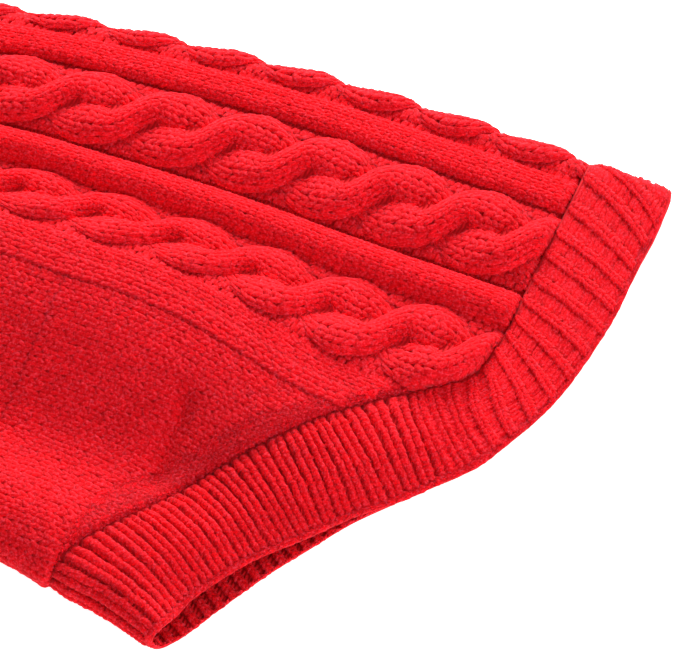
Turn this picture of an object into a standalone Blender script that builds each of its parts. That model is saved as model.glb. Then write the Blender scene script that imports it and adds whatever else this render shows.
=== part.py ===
"""A cable-knit dog sweater, laid flat on its side and folded along the centre back and the belly.

Sizes are millimetres until the last step. "Along" runs from the tail hem, 0, towards the neck.
"Across" runs from the centre-back fold, 0, towards the belly, which is negative. "Turn" goes once
round the garment: 0 at the centre-back fold, 0 to 1 over the upper flank, 1 at the belly fold, and
1 to 2 back again under the lower flank, which rests flat.
"""

import math

import bmesh
import bpy
import numpy as np

MM = 0.001
COLLECTION = "cable_knit_dog_sweater"

# Driving sizes.
LENGTH = 345.0  # tail hem to collar edge
NECK_SEAM = 300.0  # along, where the collar is sewn on
WALL = 3.0  # knitted cloth without its relief
SEAM_GAP = 0.3
BAND_GAP = 0.7  # along, so that the slanting seam is as far apart as the others
CENTRE_ACROSS, CENTRE_ALONG = -111.91, 171.84  # middle of the outline, which becomes the frame's origin

# Cables and raised stripes over the upper flank: (start, end) of each, measured round the cloth from
# the fold. The middle cable's own middle lies a little past the fold.
CABLES = ((-20.7, 12.7), (26.5, 63.0), (77.0, 113.5))
STRIPES = ((12.7, 26.5), (63.0, 77.0))
SEAM_WIDTH = 122.0  # the side seam, in the same measure
CABLE_REPEAT = 28.1
FIRST_CROSSING = 36.5  # along, where a strand lies on top
GUTTER = 1.0  # purl stitches beside each cable and stripe
CABLE_HEIGHT = 5.6
STRAND_LOW = 0.4
STRAND_SWING, STRAND_HALF, STRAND_DRAWN_IN = 0.43, 0.62, 0.24  # shares of half the cable's width
CABLE_BED = 2.0  # the raised knit that the strands lie on
BLEND = 4  # how sharply one strand meets the next: higher is sharper
STRIPE_HEIGHT = 4.2
RIB_HEIGHT = 1.2
HEM_RIBS = 36  # over the upper flank
COLLAR_RIBS = 22
ARMBAND_RIBS = 28
# The knit draws in towards the neck: (along, share of the widths above), and the plain margin by the seam.
DRAWN_IN = ((28, 1.0), (90, 1.0), (150, 0.95), (210, 0.9), (300, 0.85))
SEAM_MARGIN = ((28, 9), (100, 9), (150, 8.7), (210, 8.3), (300, 8))
CLOTH_RED = (0.76, 0.012, 0.028, 1.0)

# Outline of the folded garment: (along, across) of the wall's outer face at each fold.
BACK_FOLD = ((0, 5), (14, 4), (24, 2.6), (34, 2), (60, 2), (90, 1), (121, -0.5), (151, -3.5), (178, -7),
             (203, -10.5), (232, -16), (265, -24.5), (300, -32.5), (345, -38))
BELLY_FOLD = ((-10, -257), (40, -247), (70, -235), (88, -226.5), (102, -222.5), (114, -220.5), (126, -219.5),
              (150, -217), (190, -219), (225, -215), (255, -202), (280, -184), (300, -170), (345, -163))
# Seam between the cabled back and the plain under panel: (along, across).
SIDE_SEAM = ((28, -121), (58, -121.5), (81, -121), (103, -117), (125, -113), (145, -112), (166, -113),
             (200, -113), (300, -108))
# Where the hem band is sewn on, and its free edge: (across, along).
BAND_SEAM = ((-219, 125.5), (-208, 123), (-198, 117), (-178, 103), (-162, 93), (-144, 78),
             (-125, 61), (-108, 43), (-98, 33), (-85, 29.5), (-50, 28.5), (0, 28))
BAND_EDGE = ((-226, 88), (-217, 83), (-208, 79.5), (-192, 71), (-181, 64), (-170, 56), (-159, 47),
             (-148.5, 36.5), (-137.7, 27.5), (-127, 18.5), (-115.6, 13), (-105, 9), (-96, 6), (-85, 3.3),
             (-69, 0.8), (-60, -0.6), (-28, -1.2), (-10, -1.6), (6, -0.3))
# How the ribs fan over the upper flank: number of the rib, across at the seam and at the free edge.
BAND_FAN = ((0, 0, -14), (2, -19.8, -33), (4, -40.9, -51), (6, -61.4, -71), (8, -76.4, -92.5),
            (10, -91, -112), (12, -103, -124), (14.5, -113.2, -137), (17.5, -129, -150),
            (20.5, -140.3, -163), (25, -161, -180), (29, -181.6, -197), (33, -201.8, -215.4), (36, -219, -228.5))

# The lower flank's free edge beside the upper one: (share of the ribs, share of the band's depth).
UNDER_EDGE_IN = ((0, 0), (0.1, 0.06), (0.25, 0.09), (0.44, 0.12), (0.5, 0.11), (0.565, 0.05), (0.62, 0.01),
                 (0.72, -0.01), (0.83, -0.035), (1, 0))

# Room between the two flanks: (along, height) near the back, pressed shut at the straight hem.
ROOM_AT_BACK = ((-10, 0.6), (0, 0.6), (12, 3), (30, 5.2), (60, 5.6), (120, 7), (200, 8.6),
                (260, 8.6), (300, 7), (345, 6.4))
ROOM_AT_BELLY = 7.2
BELLY_SIDE_FROM, BELLY_SIDE_TO = -106.0, -150.0
# The large roll beside the cables: (along, across of its crest) and (along, height above the room).
ROLL_CREST = ((28, -103), (50, -111), (72, -112.5), (94, -110.5), (119, -108), (196, -109), (300, -108))
ROLL_RISE = ((30, 0), (45, 2), (70, 6), (95, 8.8), (130, 10.2), (195, 9.8), (235, 5.5), (280, 0))
ROLL_FAR_SIDE, ROLL_NEAR_SIDE = 15.0, 40.0
ROLL_FAR_POWER, ROLL_NEAR_POWER = 2, 3  # the higher, the flatter its top and the steeper its side
# Softer folds: ends (across, along), half width and rise, which is negative in a trough.
SOFT_FOLDS = (
    (-169, 106, -172, 178, 15, -3.2),
    (-149, 116, -174, 106, 5.5, -1.9),
    (-200, 136, -198, 168, 12, 2.8),
    (-60, 205, -75, 250, 16, 1.4),
)
LEAST_ROOM = 0.6
FOLD_MIDDLE = 0.45  # height of each fold's tip, as a share of the room
# Depth of the rounding at a fold: this much of the room plus this many millimetres, and less below.
FOLD_DEPTH, FOLD_LEAST, FOLD_BELOW = 0.6, 1.5, 0.8
# Turn below each fold where the relief starts to fade, and where it is gone.
RELIEF_FROM, RELIEF_TO = 0.02, 0.09
# Share of the relief that is left where the knit is stretched round the back fold, and the turn above that has all.
RELIEF_AT_FOLD, RELIEF_WHOLE = 0.5, 0.17
# Shares of the panel's rows over which the relief rises from the band and falls to the collar.
RELIEF_AT_BAND, RELIEF_AT_COLLAR = 0.025, 0.02

# How finely the cloth is measured.
SETTLING_STEPS = 12
TURN_STEP, ALONG_STEP = 0.002, 0.4  # for the slope of the cloth
PATTERN_STEP, WIDTH_STEP, PATTERN_TURNS = 2.5, 0.5, 500

# Leg openings, one in each flank, in line: middle, half sizes of the hole, and the ribbed band's width.
ARMHOLE_ACROSS, ARMHOLE_ALONG = -163.0, 236.0
ARMHOLE_HALF_ACROSS, ARMHOLE_HALF_ALONG = 19.0, 23.0
ARMBAND_WIDTH = 11.0
ROUND_ARMHOLE = 56


def through(rows, place):
    """A smooth curve through (place, value) rows, level beyond the first and the last."""
    places, values = np.array(rows, float).T
    slopes = np.gradient(values, places)
    place = np.clip(place, places[0], places[-1])
    low = np.clip(np.searchsorted(places, place) - 1, 0, len(places) - 2)
    span = places[low + 1] - places[low]
    part = (place - places[low]) / span
    start = (1 + 2 * part) * (1 - part) ** 2 * values[low] + part * (1 - part) ** 2 * span * slopes[low]
    end = part**2 * (3 - 2 * part) * values[low + 1] + part**2 * (part - 1) * span * slopes[low + 1]
    return start + end


def eased(low, high, place):
    part = np.clip((place - low) / (high - low), 0, 1)
    return part * part * (3 - 2 * part)


def soft_fold(across, along, fold):
    """A trough or ridge with round sides that fades past both ends."""
    start_across, start_along, end_across, end_along, half_width, rise = fold
    run = np.hypot(end_across - start_across, end_along - start_along)
    step = ((end_across - start_across) / run, (end_along - start_along) / run)
    forward = (across - start_across) * step[0] + (along - start_along) * step[1]
    sideways = (along - start_along) * step[0] - (across - start_across) * step[1]
    past_end = forward - np.clip(forward, 0, run)
    return rise * np.exp(-((sideways / half_width) ** 2) - (past_end / (1.4 * half_width)) ** 2)


def room(across, along):
    """Height of the space between the flanks."""
    belly_side = eased(BELLY_SIDE_FROM, BELLY_SIDE_TO, across)
    height = through(ROOM_AT_BACK, along) * (1 - belly_side) + ROOM_AT_BELLY * belly_side
    from_crest = across - through(ROLL_CREST, along)
    side = np.where(from_crest > 0, ROLL_FAR_SIDE, ROLL_NEAR_SIDE)
    power = np.where(from_crest > 0, ROLL_FAR_POWER, ROLL_NEAR_POWER)
    height = height + through(ROLL_RISE, along) * np.exp(-(np.abs(from_crest / side) ** power))
    for fold in SOFT_FOLDS:
        height = height + soft_fold(across, along, fold)
    return np.maximum(height, LEAST_ROOM)


def fold_tips(along):
    """Across of the inner face at the back fold and at the belly fold."""
    return through(BACK_FOLD, along) - WALL, through(BELLY_FOLD, along) + WALL


def inner_face(turn, along):
    """A point on the inner face of the wall."""
    back, belly = fold_tips(along)
    across = back + (belly - back) * (1 - np.cos(math.pi * turn)) / 2
    height = room(across, along)
    loop = FOLD_DEPTH * height + FOLD_LEAST
    from_tip = np.minimum(back - across, across - belly)
    open_above = np.sqrt(1 - (1 - np.clip(from_tip / loop, 0, 1)) ** 2)
    open_below = np.sqrt(1 - (1 - np.clip(from_tip / (FOLD_BELOW * loop), 0, 1)) ** 2)
    upper = WALL + height * (FOLD_MIDDLE + (1 - FOLD_MIDDLE) * open_above)
    lower = WALL + height * FOLD_MIDDLE * (1 - open_below)
    rise = np.where(np.mod(turn, 2) < 1, upper, lower)
    return np.stack([across, along, rise], axis=-1)


def outward(turn, along):
    """The direction out of the cloth."""
    sideways = inner_face(turn + TURN_STEP, along) - inner_face(turn - TURN_STEP, along)
    forward = inner_face(turn, along + ALONG_STEP) - inner_face(turn, along - ALONG_STEP)
    normal = np.cross(forward, sideways)
    return normal / np.linalg.norm(normal, axis=-1, keepdims=True)


def turn_at(across, along, lower=False):
    back, belly = fold_tips(along)
    share = np.clip((across - back) / (belly - back), 0, 1)
    turn = np.arccos(1 - 2 * share) / math.pi
    return 2 - turn if lower else turn


def outer_face(turn, along, relief):
    """A point on the outer face. The underside rests on the ground."""
    point = inner_face(turn, along) + outward(turn, along) * (WALL + relief)[..., None]
    point[..., 2] = np.maximum(point[..., 2], 0)
    return point


def on_top(turn):
    """1 over the upper flank, falling to 0 just below each fold, so that nothing is raised underneath."""
    turn = np.mod(turn, 2)
    below = np.where(turn > 1, np.minimum(turn - 1, 2 - turn), 0)
    return 1 - eased(RELIEF_FROM, RELIEF_TO, below)


def stretched(turn):
    """Share of the cables' and stripes' height, which is less where the knit is stretched round the back fold."""
    turn = np.mod(turn + 1, 2) - 1
    return RELIEF_AT_FOLD + (1 - RELIEF_AT_FOLD) * eased(0, RELIEF_WHOLE, turn)


class Pattern:
    """Distances round the cloth from the centre-back fold, for each place along it."""

    def __init__(self):
        self.along = np.arange(0, LENGTH + PATTERN_STEP, PATTERN_STEP)
        self.turn = np.linspace(0, 1, PATTERN_TURNS)
        turns, alongs = np.meshgrid(self.turn, self.along)
        middle = inner_face(turns, alongs) + outward(turns, alongs) * WALL / 2
        steps = np.linalg.norm(np.diff(middle, axis=1), axis=-1)
        self.distance = np.concatenate([np.zeros((len(self.along), 1)), np.cumsum(steps, axis=1)], axis=1)
        self.seam = turn_at(through(SIDE_SEAM, self.along), self.along)
        self.seam_distance = [np.interp(s, self.turn, d) for s, d in zip(self.seam, self.distance)]
        self.widths = np.arange(0, SEAM_WIDTH + WIDTH_STEP, WIDTH_STEP)
        self.turn_of_width = np.array([
            np.interp(self.real(self.widths, a, s), d, self.turn)
            for a, s, d in zip(self.along, self.seam_distance, self.distance)
        ])

    def real(self, width, along, seam_distance):
        """Distance round the cloth of a pattern width: the knit draws in towards the neck."""
        drawn_in = through(DRAWN_IN, along)
        last_cable = seam_distance - through(SEAM_MARGIN, along)
        knots = (0, CABLES[-1][0], CABLES[-1][1], SEAM_WIDTH)
        return np.interp(width, knots, (0, CABLES[-1][0] * drawn_in, last_cable, seam_distance))

    def turn_for(self, width, along):
        """Turn of a pattern width over the upper flank."""
        row = np.clip(along / PATTERN_STEP, 0, len(self.along) - 1.001)
        column = np.clip(width / WIDTH_STEP, 0, len(self.widths) - 1.001)
        r, c = row.astype(int), column.astype(int)
        fr, fc = row - r, column - c
        table = self.turn_of_width
        low = table[r, c] * (1 - fc) + table[r, c + 1] * fc
        high = table[r + 1, c] * (1 - fc) + table[r + 1, c + 1] * fc
        return low * (1 - fr) + high * fr


def strand(past, reach):
    """Middle, lean, half width and height of a strand this far past its crossing, in repeats.

    It crosses steeply and is drawn narrow there, and spreads at either side, where it runs straight."""
    across, forward = np.sin(math.pi * past), np.cos(math.pi * past)
    swing = STRAND_SWING * reach
    middle = swing * across * (15 - 10 * across**2 + 3 * across**4) / 8
    lean = 15 / 8 * math.pi * swing / CABLE_REPEAT * forward**5
    half = reach * (STRAND_HALF - STRAND_DRAWN_IN * forward**2)
    height = STRAND_LOW + (CABLE_HEIGHT - STRAND_LOW) * np.clip(0.5 + 0.5 * forward, 0, 1) ** 0.6
    return middle, lean, half, height


def cable(width, along, start, end):
    """Two strands that twist, each crossing on top from the belly side to the back side, tailwards."""
    reach = (end - start) / 2 - GUTTER
    from_middle = width - (start + end) / 2
    bed = CABLE_BED * np.clip(1 - (from_middle / reach) ** 4, 0, 1)
    height_to_blend = bed**BLEND
    first = int((FIRST_CROSSING - LENGTH) // CABLE_REPEAT) - 1
    for crossing in range(first, 3):
        past = (FIRST_CROSSING - along) / CABLE_REPEAT - crossing
        middle, lean, half, height = strand(past, reach)
        off = (from_middle + middle) / half / np.sqrt(1 + lean**2)
        raised = height * np.clip(1 - off**2, 0, 1) ** 0.75
        height_to_blend += np.where(np.abs(past) < 1, raised, 0) ** BLEND
    return height_to_blend ** (1 / BLEND)


def stripe(width, start, end):
    off = np.abs(width - (start + end) / 2) / ((end - start) / 2)
    return STRIPE_HEIGHT * np.clip(1 - off**2, 0, 1) ** 0.65


def back_relief(width, along):
    """Height of the cables and stripes."""
    return sum(cable(width, along, *ends) for ends in CABLES) + sum(stripe(width, *ends) for ends in STRIPES)


def ribs(position, pitches):
    """Relief of evenly spaced ribs at a position that runs from 0 to 1 over this many of them."""
    from_crest = np.abs(np.mod(position * pitches + 0.5, 1) - 0.5)
    return RIB_HEIGHT * np.clip(2 - 8 * from_crest, 0, 1)


def settled(turn_for, start_line, end_line, row):
    """Turn and along a share of the way between two lines of (across, along) rows."""
    along = 60.0 + 0 * row
    for _ in range(SETTLING_STEPS):
        turn = turn_for(along)
        across = inner_face(turn, along)[..., 0]
        along = through(start_line, across) * (1 - row) + through(end_line, across) * row
    return turn, along


def moved(line, step):
    """A line of (across, along) rows, moved along."""
    return [(across, along + step) for across, along in line]


def stations(zones):
    """Places at even steps through each (start, end, steps) zone."""
    places = [zones[0][0]]
    for start, end, steps in zones:
        places += [start + (end - start) * (i + 1) / steps for i in range(steps)]
    return np.array(places)


def sheet(bm, columns, rows, place):
    """A grid whose points stand where place(column, row) says, returned as rows of vertices."""
    made = bmesh.ops.create_grid(bm, x_segments=len(columns) - 1, y_segments=len(rows) - 1, size=1)
    verts = sorted(made["verts"], key=lambda v: (round(v.co.y, 6), round(v.co.x, 6)))
    column_values, row_values = np.meshgrid(columns, rows)
    for vert, point in zip(verts, place(column_values, row_values).reshape(-1, 3)):
        vert.co = point
    width = len(columns)
    return [verts[i : i + width] for i in range(0, len(verts), width)]


def close_side(bm, outer, inner):
    """Faces between the edge of the outer sheet and the coarser edge of the inner one."""
    step = (len(outer) - 1) // (len(inner) - 1)
    for i in range(len(inner) - 1):
        bm.faces.new(outer[i * step : (i + 1) * step + 1] + [inner[i + 1], inner[i]])


def cloth(name, columns, rows, outer_place, inner_place, steps, tube=False):
    """A wall of cloth between a detailed outer sheet and a plain inner one.

    The inner sheet uses every steps[0]-th column and every steps[1]-th row."""
    bm = bmesh.new()
    outer = sheet(bm, columns, rows, outer_place)
    inner = sheet(bm, columns[:: steps[0]], rows[:: steps[1]], inner_place)
    close_side(bm, outer[0], inner[0])
    close_side(bm, outer[-1], inner[-1])
    if not tube:
        close_side(bm, [r[0] for r in outer], [r[0] for r in inner])
        close_side(bm, [r[-1] for r in outer], [r[-1] for r in inner])
    bmesh.ops.remove_doubles(bm, verts=bm.verts, dist=0.001)
    bmesh.ops.recalc_face_normals(bm, faces=bm.faces)
    bmesh.ops.triangulate(bm, faces=bm.faces)
    if bm.calc_volume(signed=True) < 0:
        bmesh.ops.reverse_faces(bm, faces=bm.faces)
    to_frame(bm)
    obj = new_object(name, bm, COLLECTION)
    obj.data.materials.append(knit_material(name))
    return obj


def to_frame(bm):
    """From millimetres along and across to metres about the middle of the outline."""
    bmesh.ops.translate(bm, vec=(-CENTRE_ACROSS, -CENTRE_ALONG, 0), verts=bm.verts)
    bmesh.ops.scale(bm, vec=(MM, MM, MM), verts=bm.verts)


def new_object(name, bm, collection):
    mesh = bpy.data.meshes.new(name)
    bm.to_mesh(mesh)
    bm.free()
    mesh.shade_smooth()
    obj = bpy.data.objects.new(name, mesh)
    bpy.data.collections[collection].objects.link(obj)
    return obj


def knit_material(name):
    material = bpy.data.materials.new(name + "_red_knit")
    material.use_nodes = True
    shader = material.node_tree.nodes["Principled BSDF"]
    shader.inputs["Base Color"].default_value = CLOTH_RED
    shader.inputs["Roughness"].default_value = 0.9
    shader.inputs["Metallic"].default_value = 0.0
    material.diffuse_color = CLOTH_RED
    return material


# Ends of the two panels, half a seam's gap short.
START = moved(BAND_SEAM, BAND_GAP / 2)
COLLAR_LINE = ((-LENGTH, NECK_SEAM), (0, NECK_SEAM))


def back_panel(pattern):
    """The cabled back, round the centre-back fold. Negative columns lie underneath."""
    edge = SEAM_WIDTH - SEAM_GAP / 2
    (middle, side, last), (far_stripe, near_stripe) = CABLES, STRIPES
    columns = stations((
        (-edge, -near_stripe[1], 12), (-near_stripe[1], middle[0], 4), (*middle, 12), (*far_stripe, 4),
        (*side, 11), (*near_stripe, 4), (*last, 9), (last[1], edge, 2),
    ))
    rows = np.linspace(0, 1, 68 + 1)

    def spread(width, row):
        """Turn and along of a pattern width, a share of the way from the band to the collar."""
        turn, along = settled(lambda a: pattern.turn_for(np.abs(width), a), START, COLLAR_LINE, row)
        return np.where(width < 0, 2 - turn, turn), along

    def outer(width, row):
        turn, along = spread(width, row)
        end = np.minimum(eased(0, RELIEF_AT_BAND, row), eased(1, 1 - RELIEF_AT_COLLAR, row))
        return outer_face(turn, along, back_relief(width, along) * stretched(turn) * on_top(turn) * end)

    def inner(width, row):
        return inner_face(*spread(width, row))

    return cloth("back_panel", columns, rows, outer, inner, (2, 4))


def under_panel():
    """The plain flanks and belly, round the belly fold, with a leg opening in each flank."""
    columns = stations(((0, 0.8, 14), (0.8, 1.2, 10), (1.2, 2, 12)))
    rows = np.linspace(0, 1, 32 + 1)

    def spread(side, row):
        """Turn and along at a share of the way from the upper side seam, 0, to the lower one, 2."""
        upper_side = np.minimum(side, 2 - side)

        def turn_for(along):
            seam_turn = turn_at(through(SIDE_SEAM, along) - SEAM_GAP, along)
            return seam_turn + (1 - seam_turn) * upper_side

        turn, along = settled(turn_for, START, COLLAR_LINE, row)
        return np.where(side > 1, 2 - turn, turn), along

    def outer(side, row):
        turn, along = spread(side, row)
        return outer_face(turn, along, 0 * turn)

    def inner(side, row):
        return inner_face(*spread(side, row))

    panel = cloth("under_panel", columns, rows, outer, inner, (2, 2))
    cut = panel.modifiers.new("leg_openings", "BOOLEAN")
    cut.object = armhole_cutter()
    cut.solver = "EXACT"
    return panel


def armhole_cutter():
    """An oval post through both flanks."""
    bm = bmesh.new()
    bmesh.ops.create_cone(
        bm, cap_ends=True, cap_tris=False, segments=ROUND_ARMHOLE, radius1=1, radius2=1, depth=100
    )
    half_across = ARMHOLE_HALF_ACROSS + ARMBAND_WIDTH + SEAM_GAP
    half_along = ARMHOLE_HALF_ALONG + ARMBAND_WIDTH + SEAM_GAP
    bmesh.ops.scale(bm, vec=(half_across, half_along, 1), verts=bm.verts)
    bmesh.ops.translate(bm, vec=(ARMHOLE_ACROSS, ARMHOLE_ALONG, 0), verts=bm.verts)
    to_frame(bm)
    cutter = new_object("armhole_cutter", bm, "cutters")
    cutter.hide_render = True
    cutter.display_type = "WIRE"
    return cutter


def hem_band():
    """The ribbed band round the hem: ribs raised above, plain where it rests."""
    numbers, seam_across, edge_across = np.array(BAND_FAN, float).T
    shares = numbers / HEM_RIBS
    seam_turn = np.column_stack([shares, turn_at(seam_across, through(BAND_SEAM, seam_across))])
    edge_turn = np.column_stack([shares, turn_at(edge_across, through(BAND_EDGE, edge_across))])
    seam_turn[0, 1], seam_turn[-1, 1], edge_turn[-1, 1] = 0, 1, 1
    # The ribs lean at the back fold, so those of the lower flank run on past it onto the upper one.
    under_edge_turn = edge_turn.copy()
    under_edge_turn[0, 1] *= -1
    columns = stations(((0, 1, HEM_RIBS * 4), (1, 1.06, 4), (1.06, 1.94, 36), (1.94, 2, 4)))
    rows = np.linspace(0, 1, 4 + 1)

    def spread(share, row):
        upper = np.minimum(share, 2 - share)
        row = row * np.where(share > 1, 1 - through(UNDER_EDGE_IN, upper), 1)
        at_seam = through(seam_turn, upper)
        at_edge = np.where(share > 1, through(under_edge_turn, upper), through(edge_turn, upper))
        turn = at_seam * (1 - row) + at_edge * row
        turn = np.where(share > 1, 2 - turn, turn)
        return settled(lambda a: turn, moved(BAND_SEAM, -BAND_GAP / 2), BAND_EDGE, row)

    def outer(share, row):
        turn, along = spread(share, row)
        return outer_face(turn, along, ribs(share, HEM_RIBS) * on_top(turn))

    def inner(share, row):
        return inner_face(*spread(share, row))

    return cloth("hem_band", columns, rows, outer, inner, (2, 2), tube=True)


def collar(pattern):
    """The ribbed collar."""
    middle = np.searchsorted(pattern.along, (NECK_SEAM + LENGTH) / 2)
    round_collar = pattern.distance[middle] / pattern.distance[middle][-1]
    columns = stations(((0, 1, COLLAR_RIBS * 4), (1, 1.1, 4), (1.1, 1.9, 12), (1.9, 2, 4)))
    rows = np.linspace(NECK_SEAM + SEAM_GAP, LENGTH, 4 + 1)

    def spread(share):
        turn = np.interp(np.minimum(share, 2 - share), round_collar, pattern.turn)
        return np.where(share > 1, 2 - turn, turn)

    def outer(share, along):
        turn = spread(share)
        return outer_face(turn, along, ribs(share, COLLAR_RIBS) * on_top(turn))

    def inner(share, along):
        return inner_face(spread(share), along)

    return cloth("collar", columns, rows, outer, inner, (4, 2), tube=True)


def armband(name, lower):
    """The ribbed band round a leg opening, flat in its flank."""
    columns = np.linspace(0, 1, ARMBAND_RIBS * (2 if lower else 4) + 1)
    rows = np.array([0, 0.5, 1])

    def plan(share, row):
        angle = 2 * math.pi * share
        across = ARMHOLE_ACROSS + (ARMHOLE_HALF_ACROSS + ARMBAND_WIDTH * row) * np.cos(angle)
        along = ARMHOLE_ALONG + (ARMHOLE_HALF_ALONG + ARMBAND_WIDTH * row) * np.sin(angle)
        return inner_face(turn_at(across, along, lower), along)

    def outer(share, row):
        point = plan(share, row)
        if lower:
            point[..., 2] = 0
        else:
            point[..., 2] += WALL + ribs(share, ARMBAND_RIBS)
        return point

    return cloth(name, columns, rows, outer, plan, (2, 1), tube=True)


def build():
    for obj in list(bpy.data.objects):
        bpy.data.objects.remove(obj, do_unlink=True)
    for name in (COLLECTION, "cutters"):
        bpy.context.scene.collection.children.link(bpy.data.collections.new(name))
    pattern = Pattern()
    back_panel(pattern)
    under_panel()
    hem_band()
    collar(pattern)
    armband("left_armband", lower=False)
    armband("right_armband", lower=True)


build()
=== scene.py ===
"""Looks of a cable-knit dog sweater that lies flat on its side.

Sizes are millimetres until the last step. "Along" runs from the tail hem, 0, towards the neck.
"Across" runs from the centre-back fold, 0, towards the belly, which is negative. "Turn" goes once
round the garment: 0 at the centre-back fold, 1 at the belly fold, and 1 to 2 back again under the
lower flank. Each cloth is a thin ground, and the stitches that show on it are joined meshes, laid
out by the same named sizes as the solids.
"""

import math

import bmesh
import bpy
import numpy as np
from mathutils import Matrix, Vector


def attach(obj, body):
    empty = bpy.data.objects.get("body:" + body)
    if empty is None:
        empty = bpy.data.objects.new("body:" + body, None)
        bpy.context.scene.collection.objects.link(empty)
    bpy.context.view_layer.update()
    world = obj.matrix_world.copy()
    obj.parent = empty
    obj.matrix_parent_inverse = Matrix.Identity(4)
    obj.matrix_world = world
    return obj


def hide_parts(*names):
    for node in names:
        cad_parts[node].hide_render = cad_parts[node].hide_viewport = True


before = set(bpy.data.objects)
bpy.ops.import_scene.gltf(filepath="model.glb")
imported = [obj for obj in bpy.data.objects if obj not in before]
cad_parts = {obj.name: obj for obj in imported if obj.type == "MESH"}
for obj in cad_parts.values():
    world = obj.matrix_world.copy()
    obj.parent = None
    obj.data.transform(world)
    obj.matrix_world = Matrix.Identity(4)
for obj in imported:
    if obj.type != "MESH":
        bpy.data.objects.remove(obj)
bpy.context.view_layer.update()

MM = 0.001
SEED = 7

# Driving sizes.
LENGTH = 345.0  # tail hem to collar edge
NECK_SEAM = 300.0  # along, where the collar is sewn on
WALL = 3.0  # knitted cloth without its relief
SEAM_GAP = 0.3
BAND_GAP = 0.7  # along, so that the slanting seam is as far apart as the others
CENTRE_ACROSS, CENTRE_ALONG = -111.91, 171.84  # middle of the outline, which becomes the frame's origin

# Cables and raised stripes over the upper flank: (start, end) of each, measured round the cloth from
# the fold. The middle cable's own middle lies a little below it.
CABLES = ((-20.7, 12.7), (26.5, 63.0), (77.0, 113.5))
STRIPES = ((12.7, 26.5), (63.0, 77.0))
SEAM_WIDTH = 122.0  # the side seam, in the same measure
CABLE_REPEAT = 28.1
FIRST_CROSSING = 36.5  # along, where a strand lies on top
GUTTER = 1.0  # beside each cable's strands
CABLE_HEIGHT = 5.6
STRAND_LOW = 0.4  # height of a strand where it dips under the other
STRAND_SWING, STRAND_HALF, STRAND_DRAWN_IN = 0.43, 0.62, 0.24  # shares of half the cable's width
CABLE_BED = 2.0  # the raised knit that the strands lie on
BLEND = 4  # how sharply one strand meets the next: higher is sharper
STRIPE_HEIGHT, FLAT_STRIPE = 4.2, 2.2
# How round the strands are along themselves, across, and under their own stitches, and the stripes:
# powers of a round profile. The flat stripe's is how square it is.
STRAND_ALONG_POWER, STRAND_ACROSS_POWER, STRAND_FACE_POWER = 0.6, 0.75, 1.5
STRIPE_POWER, FLAT_STRIPE_POWER = 0.65, 4
RIB_HEIGHT = 1.2
HEM_RIBS = 36  # over the upper flank
COLLAR_RIBS = 22
ARMBAND_RIBS = 28
# The knit draws in towards the neck: (along, share of the widths above), and the plain margin by the seam.
DRAWN_IN = ((28, 1.0), (90, 1.0), (150, 0.95), (210, 0.9), (300, 0.85))
SEAM_MARGIN = ((28, 9), (100, 9), (150, 8.7), (210, 8.3), (300, 8))

# Outline of the folded garment: (along, across) of the wall's outer face at each fold.
BACK_FOLD = ((0, 5), (14, 4), (24, 2.6), (34, 2), (60, 2), (90, 1), (121, -0.5), (151, -3.5), (178, -7),
             (203, -10.5), (232, -16), (265, -24.5), (300, -32.5), (345, -38))
BELLY_FOLD = ((-10, -257), (40, -247), (70, -235), (88, -226.5), (102, -222.5), (114, -220.5),
              (126, -219.5), (150, -217), (190, -219), (225, -215), (255, -202), (280, -184),
              (300, -170), (345, -163))
# Seam between the cabled back and the plain under panel: (along, across).
SIDE_SEAM = ((28, -121), (58, -121.5), (81, -121), (103, -117), (125, -113), (145, -112), (166, -113),
             (200, -113), (300, -108))
# Where the hem band is sewn on, and its free edge: (across, along).
BAND_SEAM = ((-219, 125.5), (-208, 123), (-198, 117), (-178, 103), (-162, 93), (-144, 78),
             (-125, 61), (-108, 43), (-98, 33), (-85, 29.5), (-50, 28.5), (0, 28))
BAND_EDGE = ((-226, 88), (-217, 83), (-208, 79.5), (-192, 71), (-181, 64), (-170, 56), (-159, 47),
             (-148.5, 36.5), (-137.7, 27.5), (-127, 18.5), (-115.6, 13), (-105, 9), (-96, 6), (-85, 3.3),
             (-69, 0.8), (-60, -0.6), (-28, -1.2), (-10, -1.6), (6, -0.3))
# How the ribs fan over the upper flank: number of the rib, across at the seam and at the free edge.
BAND_FAN = ((0, 0, -14), (2, -19.8, -33), (4, -40.9, -51), (6, -61.4, -71), (8, -76.4, -92.5),
            (10, -91, -112), (12, -103, -124), (14.5, -113.2, -137), (17.5, -129, -150),
            (20.5, -140.3, -163), (25, -161, -180), (29, -181.6, -197), (33, -201.8, -215.4),
            (36, -219, -228.5))
BAND_DEPTH = 30.0
# The lower flank's free edge beside the upper one: (share of the ribs, share of the band's depth).
UNDER_EDGE_IN = ((0, 0), (0.1, 0.06), (0.25, 0.09), (0.44, 0.12), (0.5, 0.11), (0.565, 0.05), (0.62, 0.01),
                 (0.72, -0.03), (0.83, -0.06), (0.93, -0.04), (1, 0))

# Room between the two flanks: (along, height) near the back, pressed shut at the straight hem.
ROOM_AT_BACK = ((-10, 0.6), (0, 0.6), (12, 3), (30, 5.2), (60, 5.6), (120, 7), (200, 8.6),
                (260, 8.6), (300, 7), (345, 6.4))
ROOM_AT_BELLY = 7.2
BELLY_SIDE_FROM, BELLY_SIDE_TO = -106.0, -150.0
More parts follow.
